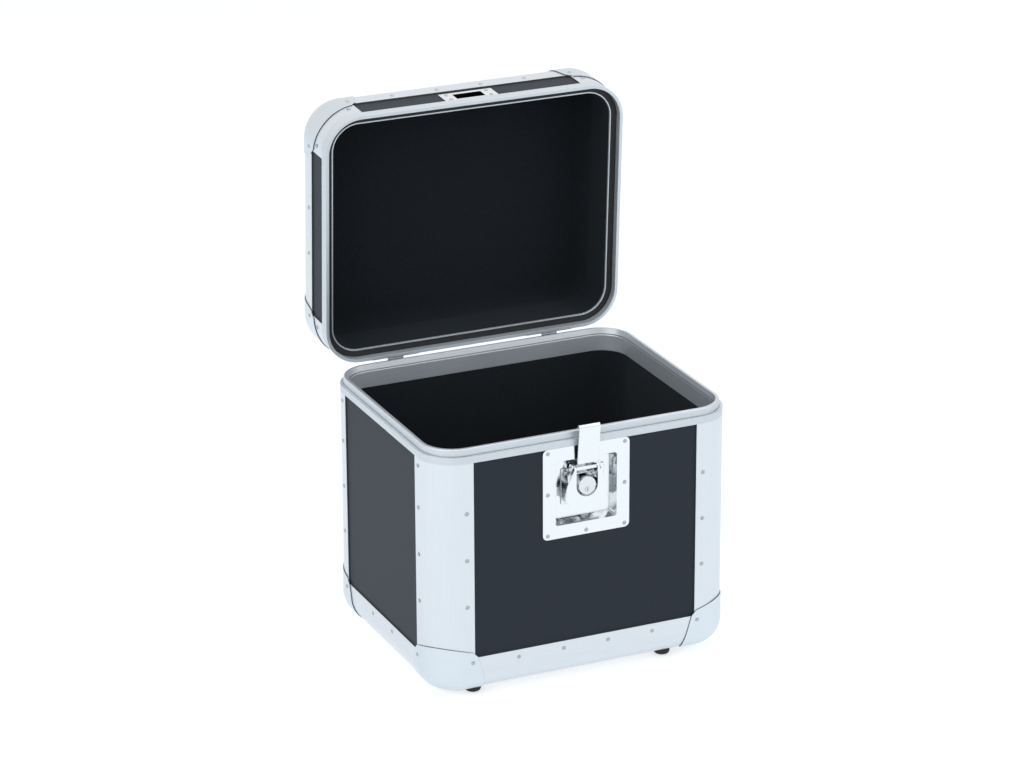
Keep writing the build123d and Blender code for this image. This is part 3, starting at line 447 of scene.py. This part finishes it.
@dataclass
class Finishes:
    """Every finish of the case, built once."""
    upright: bpy.types.Material = field(default_factory=AnodisedAluminium(Run.UPRIGHT).build)
    across: bpy.types.Material = field(default_factory=AnodisedAluminium(Run.ACROSS).build)
    along: bpy.types.Material = field(default_factory=AnodisedAluminium(Run.ALONG).build)
    level: bpy.types.Material = field(default_factory=AnodisedAluminium(Run.LEVEL).build)
    rim: bpy.types.Material = field(default_factory=AnodisedAluminium(
        Run.LEVEL, "etched_rim", "#E0E5E9", "#D0D7DD", metallic=0.55, roughness=0.4).build)
    board: bpy.types.Material = field(default_factory=LaminatedBoard().build)
    felt: bpy.types.Material = field(default_factory=NeedleFelt().build)
    ball: bpy.types.Material = field(default_factory=PlatedMetal(
        "plated_ball_corner", "#D2DAE0", 0.3, 0.02).build)
    # the latch's nickel gets painted shade reaching 4 mm from its seams
    nickel: bpy.types.Material = field(default_factory=PlatedMetal(
        "polished_nickel", "#E3E7E9", 0.12, seam_shade_mm=4.0).build)
    # the keeper's nickel gets painted shade inside its cup, beyond the plane behind its plate
    cup: bpy.types.Material = field(default_factory=PlatedMetal("nickel_with_painted_shade_cup", "#E3E7E9", 0.12,
                                                                pocket=keeper_depth()).build)
    steel: bpy.types.Material = field(default_factory=PlatedMetal("zinc_plated_steel", "#D9DCDD", 0.24).build)
    # the rivets get painted shade reaching 2 mm round their seams
    rivet: bpy.types.Material = field(default_factory=PlatedMetal(
        "rivet_steel", "#A9AEB2", 0.16, 0.02, seam_shade_mm=2.0).build)
    rubber: bpy.types.Material = field(default_factory=MouldedBlack(
        "moulded_rubber", "#0E0F11", 0.7, 0.5).build)
    vinyl: bpy.types.Material = field(default_factory=MouldedBlack("grip_vinyl", "#121416", 0.45, 0.8).build)


def dress(frame: dict, node: str, material: bpy.types.Material) -> None:
    """Give a CAD node one material in its slots.

    Args:
        frame: the loaded frame.
        node: the node's name.
        material: its finish.
    """
    mesh = frame["nodes"][node].data
    mesh.materials.clear()
    mesh.materials.append(material)
    LOG.info("%s: %s", node, material.name)


# ---------------------------------------------------------------- linings, seams and grip
@dataclass
class FeltLining:
    """Needle felt glued inside one half of the case, from its open edge down round the bottom."""
    name: str
    body: str
    node: str
    top: float                    # height of the open edge above the closed end's outer face
    window: tuple[float, float, float] | None = None   # half width, lower and upper height in front
    thickness: float = 1.35
    pile_mm: float = 0.12         # unevenness of the glued felt
    bend_rows: int = 10
    floor_rows: int = 16

    def border(self) -> tuple[np.ndarray, np.ndarray]:
        """Outline of the felt's inner face in plan.

        A rounded rectangle: straight runs between quarter circles, whose centres lie the corner
        radius in from both sides; the second array is the outward direction at each place.

        Returns:
            Places and outward directions, each N by 2, in mm.
        """
        radius = SIZE.corner_radius - SIZE.lined_wall
        across, along = SIZE.half_width - SIZE.lined_wall - radius, SIZE.half_depth - SIZE.lined_wall - radius
        places, outward = [], []
        edge = self.window[0] if self.window else across / 2
        front = np.unique(np.concatenate([np.linspace(-across, -edge, 9), np.linspace(-edge, edge, 11),
                                          np.linspace(edge, across, 9)]))
        side = np.linspace(-along, along, 24)
        bend = np.linspace(0, np.pi / 2, 10)[1:-1]
        runs = (((across, -along), -np.pi / 2, np.stack([front, front * 0 - along - radius], 1)),
                ((across, along), 0.0, np.stack([side * 0 + across + radius, side], 1)),
                ((-across, along), np.pi / 2, np.stack([front[::-1], front * 0 + along + radius], 1)),
                ((-across, -along), np.pi, np.stack([side * 0 - across - radius, -side], 1)))
        for (cx, cy), start, run in runs:
            straight = np.array([math.cos(start), math.sin(start)])
            arc = np.stack([np.cos(start + bend), np.sin(start + bend)], axis=1)
            places += [run, np.array([cx, cy]) + radius * arc]
            outward += [np.tile(straight, (len(run), 1)), arc]
        return np.vstack(places), np.vstack(outward)

    def build(self, looks: Finishes) -> bpy.types.Object:
        """Make the felt as one closed skin and let it stand for its CAD node.

        The inner face is the outline carried down the wall, in along a quarter circle, and then
        shrunk towards the middle; the outer face lies one thickness behind it. Faces in front of
        the window are left out, and every open edge is closed between the two faces.

        Args:
            looks: the finishes.
        Returns:
            The lining.
        """
        border, outward = self.border()
        bend = SIZE.edge_round - SIZE.lined_wall
        floor = SIZE.lined_wall
        low, high = (self.window[1], self.window[2]) if self.window else (self.top * 0.6, self.top * 0.8)
        walls = np.unique(np.concatenate([np.linspace(self.top, high, 10), np.linspace(high, low, 8),
                                          np.linspace(low, floor + bend, 12)]))[::-1]
        turn = np.linspace(0, np.pi / 2, self.bend_rows)[1:]
        inset = np.concatenate([walls * 0, bend * (1 - np.cos(turn))])
        height = np.concatenate([walls, floor + bend * (1 - np.sin(turn))])
        tilt = np.concatenate([walls * 0, turn])
        rows = border[None] - inset[:, None, None] * outward[None]
        inner = np.concatenate([rows, np.broadcast_to(height[:, None, None], rows.shape[:2] + (1,))], axis=2)
        away = np.concatenate([np.cos(tilt)[:, None, None] * outward[None],
                               np.broadcast_to(-np.sin(tilt)[:, None, None], rows.shape[:2] + (1,))], axis=2)
        shrink = np.linspace(1, 0, self.floor_rows + 1)[1:-1]
        flat = inner[-1][None] * np.stack([shrink, shrink, shrink * 0 + 1], 1)[:, None, :]
        down = np.broadcast_to(np.array([0.0, 0.0, -1.0]), flat.shape)
        inner, away = np.concatenate([inner, flat]), np.concatenate([away, down])
        count, around = inner.shape[:2]
        wave = (np.sin(inner[..., 0] / 23 + 1) * np.sin(inner[..., 1] / 19 + 2)
                * np.sin(inner[..., 2] / 27 + 3)
                + 0.4 * np.sin(inner[..., 0] / 7.3) * np.sin(inner[..., 2] / 6.1 + inner[..., 1] / 8.7))
        outer = inner + (self.thickness * away)
        inner = inner + (self.pile_mm * wave)[..., None] * away
        middle = np.array([[0.0, 0.0, floor], [0.0, 0.0, floor - self.thickness]])
        points = np.concatenate([inner.reshape(-1, 3), outer.reshape(-1, 3), middle])
        row, col = np.meshgrid(np.arange(count - 1), np.arange(around), indexing="ij")
        kept = np.ones(row.shape, bool)
        if self.window:
            centre = (inner[row, col] + inner[row + 1, (col + 1) % around]) / 2
            kept = ~((np.abs(centre[..., 0]) < self.window[0]) & (centre[..., 1] < 0) & (row < len(walls) - 1)
                     & (centre[..., 2] > self.window[1]) & (centre[..., 2] < self.window[2]))
        here, there = row * around + col, row * around + (col + 1) % around
        quads = np.stack([here, there, there + around, here + around], axis=-1)
        size = count * around
        solid = kept.ravel()
        # open edges run where a kept face meets none, and each gets one face between the two skins
        edges = np.concatenate([quads.reshape(-1, 4)[solid][:, [i, (i + 1) % 4]] for i in range(4)])
        key = np.sort(edges, axis=1)
        _, index, times = np.unique(key[:, 0] * size + key[:, 1], return_index=True, return_counts=True)
        rim = edges[index[times == 1]]
        last = (count - 1) * around
        rim = rim[~((rim[:, 0] >= last) & (rim[:, 1] >= last))]
        bridge = np.stack([rim[:, 1], rim[:, 0], rim[:, 0] + size, rim[:, 1] + size], axis=1)
        ring = np.arange(around)
        hub = np.stack([last + ring, last + (ring + 1) % around, np.full(around, 2 * size)], axis=1)
        back = np.stack([size + last + (ring + 1) % around, size + last + ring,
                         np.full(around, 2 * size + 1)], axis=1)
        inside = quads.reshape(-1, 4)[solid]
        faces = [inside, inside[:, ::-1] + size, bridge, hub, back]
        if self.body == "lid":
            points = SIZE.lid(points * np.array([1, 1, -1]) + np.array([0, 0, SIZE.lid_top]))
            faces = [block[:, ::-1] for block in faces]
        else:
            points = SIZE.base(points + np.array([0, 0, SIZE.parting - 292.0]))
        thing = make_object(self.name, points, faces, 60.0)
        outwards(thing)
        thing.data.materials.append(looks.felt)
        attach(thing, self.body)
        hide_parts(self.node)
        LOG.info("%s: felt on %s, %d faces", self.name, self.body, len(thing.data.polygons))
        return thing


class Face(Enum):
    """A side of the case; the value is its across and outward directions in plan."""
    FRONT = ((1, 0), (0, -1))
    BACK = ((1, 0), (0, 1))
    LEFT = ((0, 1), (-1, 0))
    RIGHT = ((0, 1), (1, 0))


@dataclass
class PanelSeams:
    """A black bead along the line where the extrusions' flanges end on the laminate, drawing that line dark.
    """
    width: float = 1.1            # of the bead across the laminate, in mm
    proud: float = 1.15           # of the bead above the laminate
    sink: float = 0.02            # into the flange's edge and the laminate, so that the bead meets both
    arc_rows: int = 5

    def bar(self, start: np.ndarray, end: np.ndarray, inward: np.ndarray,
            outward: np.ndarray) -> tuple[np.ndarray, list[np.ndarray]]:
        """One straight bead: a quarter-round section carried from start to end, with both ends closed.

        The section's corner lies where flange and laminate meet; its arc runs from the flange's
        edge to the laminate as proud times cosine and width times sine of the angle.

        Args:
            start: one end of the corner line, in mm.
            end: its other end.
            inward: direction across the laminate.
            outward: direction away from the case.
        Returns:
            Places and faces.
        """
        angle = np.linspace(0, np.pi / 2, self.arc_rows)
        arc = ((self.width * np.sin(angle))[:, None] * inward
               + (self.proud * np.cos(angle))[:, None] * outward)
        corner = (-self.sink * (inward + outward))[None]
        section = np.concatenate([corner, arc])
        count = len(section)
        points = np.concatenate([section + start, section + end])
        here = np.arange(count)
        there = (here + 1) % count
        side = np.stack([here, there, there + count, here + count], axis=1)
        fan = np.stack([np.zeros(count - 2, int), here[2:], here[1:-1]], axis=1)
        return points, [side, np.concatenate([fan, fan[:, ::-1] + count])]

    def board(self, face: Face, low: float, high: float, gaps: list[tuple[float, float, float]]) -> list:
        """Beads round one board of a side.

        Args:
            face: the side.
            low: height of the board's lower border.
            high: height of its upper border.
            gaps: stretches of a border that hardware covers, as border height, start and end.
        Returns:
            A list of bars.
        """
        (ax, ay), (ox, oy) = face.value
        reach = (SIZE.half_width if ax else SIZE.half_depth) - SIZE.corner_reach
        stand = (SIZE.half_depth if ax else SIZE.half_width) - SIZE.skin
        across, outward, up = np.array([ax, ay, 0.0]), np.array([ox, oy, 0.0]), np.array([0.0, 0.0, 1.0])
        bars = []
        for height, inward in ((low, up), (high, -up)):
            cuts = [-reach] + [v for h, a, b in gaps if h == height for v in (a, b)] + [reach]
            for a, b in zip(cuts[::2], cuts[1::2]):
                bars.append(self.bar(across * a + outward * stand + up * height,
                                     across * b + outward * stand + up * height, inward, outward))
        for way in (-1, 1):
            foot = across * way * reach + outward * stand
            bars.append(self.bar(foot + up * low, foot + up * high, -across * way, outward))
        return bars

    def top(self) -> list:
        """Beads round the lid's top board."""
        a, b = SIZE.half_width - SIZE.top_reach, SIZE.half_depth - SIZE.top_reach
        up, level = np.array([0.0, 0.0, 1.0]), SIZE.lid_top - SIZE.skin
        bars = []
        for way in (-1, 1):
            bars.append(self.bar(np.array([-a, way * b, level]), np.array([a, way * b, level]),
                                 np.array([0.0, -way, 0.0]), up))
            bars.append(self.bar(np.array([way * a, -b, level]), np.array([way * a, b, level]),
                                 np.array([-way, 0.0, 0.0]), up))
        return bars

    def build(self, looks: Finishes) -> None:
        """Make the base's and the lid's beads, and let each set ride on its body.

        Args:
            looks: the finishes.
        """
        base, lid = [], self.top()
        for face in Face:
            covered = [(SIZE.base_high, -54.6, 54.6)] if face is Face.FRONT else []
            if face is Face.BACK:
                covered = [(SIZE.base_high, -130.6, -69.4), (SIZE.base_high, 69.4, 130.6)]
            base += self.board(face, SIZE.base_low, SIZE.base_high, covered)
            covered = [(SIZE.lid_low, -34.1, 34.1)] if face is Face.FRONT else []
            if face is Face.BACK:
                covered = [(SIZE.lid_low, -130.6, -69.4), (SIZE.lid_low, 69.4, 130.6)]
            lid += self.board(face, SIZE.lid_low, SIZE.lid_high, covered)
        for name, body, bars, place in (("base_flange_bead", "base", base, SIZE.base),
                                        ("lid_flange_bead", "lid", lid, SIZE.lid)):
            offset = np.cumsum([0] + [len(p) for p, _ in bars[:-1]])
            points = np.concatenate([p for p, _ in bars])
            faces = [block + o for (_, blocks), o in zip(bars, offset) for block in blocks]
            thing = make_object(name, place(points), faces)
            outwards(thing)
            thing.data.materials.append(looks.rubber)
            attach(thing, body)
            LOG.info("%s: %d beads on %s", name, len(bars), body)


@dataclass
class Grip:
    """Ribbed vinyl grip moulded round the bail."""
    reach: float = 38.0           # middle of the bail's long side behind the lid's middle, in mm
    rise: float = 7.0             # and above the lid's top
    radius: float = 7.95
    half_length: float = 47.9
    rib_pitch: float = 6.0
    rib_depth: float = 0.55
    rows: int = 169
    segments: int = 40

    def build(self, looks: Finishes) -> bpy.types.Object:
        """Make the grip and let it stand for its CAD node.

        Its radius is a superellipse of the distance from the middle, which rounds the ends, less
        a rib depth times half of one minus a cosine, faded out towards both ends.

        Args:
            looks: the finishes.
        Returns:
            The grip.
        """
        along = self.half_length * np.sin(np.linspace(-np.pi / 2, np.pi / 2, self.rows))
        share = np.abs(along) / self.half_length
        rounding = (1 - share ** 14) ** (1 / 2.4)
        fade = np.clip((1 - share) / 0.1, 0, 1)
        rib = self.rib_depth * fade * 0.5 * (1 - np.cos(2 * np.pi * along / self.rib_pitch))
        profile = np.stack([self.radius * rounding - rib * (rounding > 0), along], axis=1)
        profile[[0, -1], 0] = 0
        points, faces = turned(profile, self.segments)
        lying = np.stack([points[:, 2], points[:, 0] + self.reach,
                          points[:, 1] + SIZE.lid_top + self.rise], axis=1)
        thing = make_object("ribbed_grip", SIZE.lid(lying), faces, 50.0)
        outwards(thing)
        thing.data.materials.append(looks.vinyl)
        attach(thing, "handle")
        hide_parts("handle_grip")
        LOG.info("ribbed_grip: %d ribs", round(2 * self.half_length / self.rib_pitch))
        return thing


# ---------------------------------------------------------------- the case's sub-assemblies
@dataclass
class Shell:
    """One half of the case: boards, corner and edge extrusions, ball corners and rivets of a body."""
    prefix: str
    faces: tuple[str, ...]

    def dress(self, frame: dict, looks: Finishes) -> None:
        """Give every board, extrusion, ball corner and rivet of this half its finish.

        Args:
            frame: the loaded frame.
            looks: the finishes.
        """
        for face in self.faces:
            dress(frame, f"{self.prefix}_{face}", looks.board)
        for corner in ("front_left", "front_right", "back_left", "back_right"):
            dress(frame, f"{self.prefix}_corner_{corner}", self.corner_finish(looks))
        for edge in ("front", "back"):
            dress(frame, f"{self.prefix}_edge_{edge}", looks.across)
        for edge in ("left", "right"):
            dress(frame, f"{self.prefix}_edge_{edge}", self.side_finish(looks))
        dress(frame, f"{self.prefix}_ball_corners", looks.ball)
        dress(frame, f"{self.prefix}_rivets", looks.rivet)

    def corner_finish(self, looks: Finishes) -> bpy.types.Material:
        """The base's corner extrusions stand upright; the open lid's lie level."""
        return looks.upright if self.prefix == "base" else looks.along

    def side_finish(self, looks: Finishes) -> bpy.types.Material:
        """The base's side edges run along Y; the open lid's stand upright."""
        return looks.along if self.prefix == "base" else looks.upright


@dataclass
class Rims:
    """The two mating profiles, their seal and the felt inside both halves."""
    recess: tuple[float, float, float] = (40.4, 187.5, 269.7)   # cut-out in the felt behind the latch, in mm

    def dress(self, frame: dict, looks: Finishes) -> None:
        """Give the rim, the lid's frame, the seal and the linings their finishes.

        Args:
            frame: the loaded frame.
            looks: the finishes.
        """
        dress(frame, "base_rim", looks.rim)
        dress(frame, "lid_frame", looks.rim)
        dress(frame, "lid_seal", looks.rubber)
        dress(frame, "base_lining", looks.felt)
        dress(frame, "lid_lining", looks.felt)
        FeltLining("base_felt", "base", "base_lining", 273.0, self.recess).build(looks)
        FeltLining("lid_felt", "lid", "lid_lining", 76.3).build(looks)
        PanelSeams().build(looks)


@dataclass
class Latch:
    """The recessed latch: dish, lever, hook, lock and the keeper on the lid."""

    def dress(self, frame: dict, looks: Finishes) -> None:
        """Give every latch node its plating.

        Args:
            frame: the loaded frame.
            looks: the finishes.
        """
        for node in ("latch_dish", "latch_lever", "hook_arm", "latch_base_plate"):
            dress(frame, node, looks.nickel)
        dress(frame, "keeper_plate", looks.cup)
        for node in ("dish_rivets", "latch_plate_rivets", "keeper_rivets"):
            dress(frame, node, looks.rivet)
        for node in ("lever_pin", "hook_pin", "lock_cam", "lock_cylinder", "lock_plug"):
            dress(frame, node, looks.steel)


@dataclass
class Hardware:
    """Hinges, handle and feet."""

    def dress(self, frame: dict, looks: Finishes) -> None:
        """Give hinges, handle, feet and their fasteners their finishes.

        Args:
            frame: the loaded frame.
            looks: the finishes.
        """
        for node in ("hinge_base_leaves", "hinge_lid_leaves", "hinge_pins", "handle_brackets", "handle_bail",
                     "foot_screws"):
            dress(frame, node, looks.steel)
        for node in ("hinge_base_rivets", "hinge_lid_rivets", "handle_rivets"):
            dress(frame, node, looks.rivet)
        dress(frame, "feet", looks.rubber)
        dress(frame, "handle_grip", looks.vinyl)
        Grip().build(looks)


# ---------------------------------------------------------------- studio
@dataclass
class Studio:
    """Pale floor, soft lamps, white surroundings and the camera."""
    place: tuple[float, float, float] = (-1.73595725, -3.83389594, 1.8933363)
    right: tuple[float, float, float] = (0.91039579, -0.4137173, -0.00418263)
    upward: tuple[float, float, float] = (0.15047568, 0.3216748, 0.93481677)
    ahead: tuple[float, float, float] = (0.38540442, 0.85168264, -0.35510578)
    lens_mm: float = 135.515
    floor_glow: float = 0.62      # what the floor's own light adds where it is seen; the lamps give the rest

    def build(self) -> None:
        """Make the floor, the lamps, the world and the camera."""
        self.floor()
        self.lamp("left_softbox", (-3.0, -1.4, 1.9), (3.0, 3.0), 34.0)
        self.lamp("top_softbox", (0.3, -0.4, 3.2), (3.0, 3.0), 26.0)
        self.lamp("right_softbox", (2.4, -2.4, 1.5), (2.0, 2.5), 12.0)
        self.world()
        self.camera()

    def floor(self) -> None:
        """A wide pale floor: white to the eye, and shaded where the case stands."""
        half = 9.0
        points = np.array([[-half, -half, 0], [half, -half, 0], [half, half, 0], [-half, half, 0]])
        thing = make_object("floor", points, [np.array([[0, 1, 2, 3]])])
        material = bpy.data.materials.new("pale_floor")
        material.use_nodes = True
        tree = material.node_tree
        tree.nodes.clear()
        strength = add_node(tree, "ShaderNodeMath", {"operation": "MULTIPLY"}, {1: self.floor_glow},
                            {0: self.seen(tree)})
        glow = add_node(tree, "ShaderNodeEmission", inputs={"Color": (1, 1, 1, 1)},
                        links={"Strength": strength.outputs[0]})
        matt = add_node(tree, "ShaderNodeBsdfDiffuse", inputs={"Color": srgb("#D3D6D8")})
        both = add_node(tree, "ShaderNodeAddShader", links={0: glow.outputs[0], 1: matt.outputs[0]})
        add_node(tree, "ShaderNodeOutputMaterial", links={"Surface": both.outputs[0]})
        thing.data.materials.append(material)

    def seen(self, tree: bpy.types.NodeTree) -> bpy.types.NodeSocket:
        """Where the surroundings are seen, by the eye or in metal and glass, and don't light the case.

        Args:
            tree: the nodes to add to.

        Returns:
            A socket with the largest of the camera, glossy and transmission rays' flags, each 0 or 1.
        """
        path = add_node(tree, "ShaderNodeLightPath")
        either = add_node(tree, "ShaderNodeMath", {"operation": "MAXIMUM"},
                          links={0: path.outputs["Is Camera Ray"], 1: path.outputs["Is Glossy Ray"]})
        return add_node(tree, "ShaderNodeMath", {"operation": "MAXIMUM"},
                        links={0: either.outputs[0], 1: path.outputs["Is Transmission Ray"]}).outputs[0]

    def lamp(self, name: str, place: tuple[float, float, float], size: tuple[float, float],
             watts: float) -> None:
        """One rectangular softbox, turned to the case.

        Args:
            name: its name.
            place: where it hangs, in metres.
            size: its width and height.
            watts: its power.
        """
        light = bpy.data.lights.new(name, "AREA")
        light.shape = "RECTANGLE"
        light.size, light.size_y, light.energy = size[0], size[1], watts
        thing = bpy.data.objects.new(name, light)
        thing.location = place
        thing.rotation_euler = (Vector((0, 0, 0.3)) - Vector(place)).to_track_quat("-Z", "Y").to_euler()
        bpy.context.scene.collection.objects.link(thing)

    def world(self) -> None:
        """Surroundings: white where they are seen, directly or in metal, and pale grey as light."""
        world = bpy.data.worlds.new("studio")
        world.use_nodes = True
        bpy.context.scene.world = world
        tree = world.node_tree
        tree.nodes.clear()
        place = add_node(tree, "ShaderNodeTexCoord")
        split = add_node(tree, "ShaderNodeSeparateXYZ", links={"Vector": place.outputs["Generated"]})
        ramp = add_node(tree, "ShaderNodeValToRGB", links={"Fac": split.outputs["Z"]})
        ramp.color_ramp.elements[0].color = srgb("#8E979F")
        ramp.color_ramp.elements[1].color = srgb("#C6CDD4")
        pick = add_node(tree, "ShaderNodeMix", {"data_type": "RGBA"}, {7: (1, 1, 1, 1)},
                        {0: self.seen(tree), 6: ramp.outputs["Color"]})
        shade = add_node(tree, "ShaderNodeBackground", inputs={"Strength": 1.0},
                         links={"Color": pick.outputs[2]})
        add_node(tree, "ShaderNodeOutputWorld", links={"Surface": shade.outputs[0]})

    def camera(self) -> None:
        """The camera, at its place and lens."""
        data = bpy.data.cameras.new("view")
        data.sensor_fit = "HORIZONTAL"
        data.sensor_width = 36.0
        data.lens = self.lens_mm
        data.clip_end = 50.0
        thing = bpy.data.objects.new("view", data)
        turn = Matrix((self.right, self.upward, tuple(-a for a in self.ahead))).transposed()
        thing.matrix_world = Matrix.Translation(self.place) @ turn.to_4x4()
        bpy.context.scene.collection.objects.link(thing)
        bpy.context.scene.camera = thing


def main() -> None:
    """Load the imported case, dress it, and set the studio and the camera."""
    logging.basicConfig(level=logging.INFO, format="%(message)s")
    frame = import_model()
    bpy.context.scene.view_settings.view_transform = "Standard"
    looks = Finishes()
    Shell("base", ("panel_front", "panel_back", "panel_left", "panel_right",
                   "panel_bottom")).dress(frame, looks)
    Shell("lid", ("panel_top", "strip_front", "strip_back", "strip_left", "strip_right")).dress(frame, looks)
    Rims().dress(frame, looks)
    Latch().dress(frame, looks)
    Hardware().dress(frame, looks)
    Studio().build()


if __name__ == "__main__":
    main()
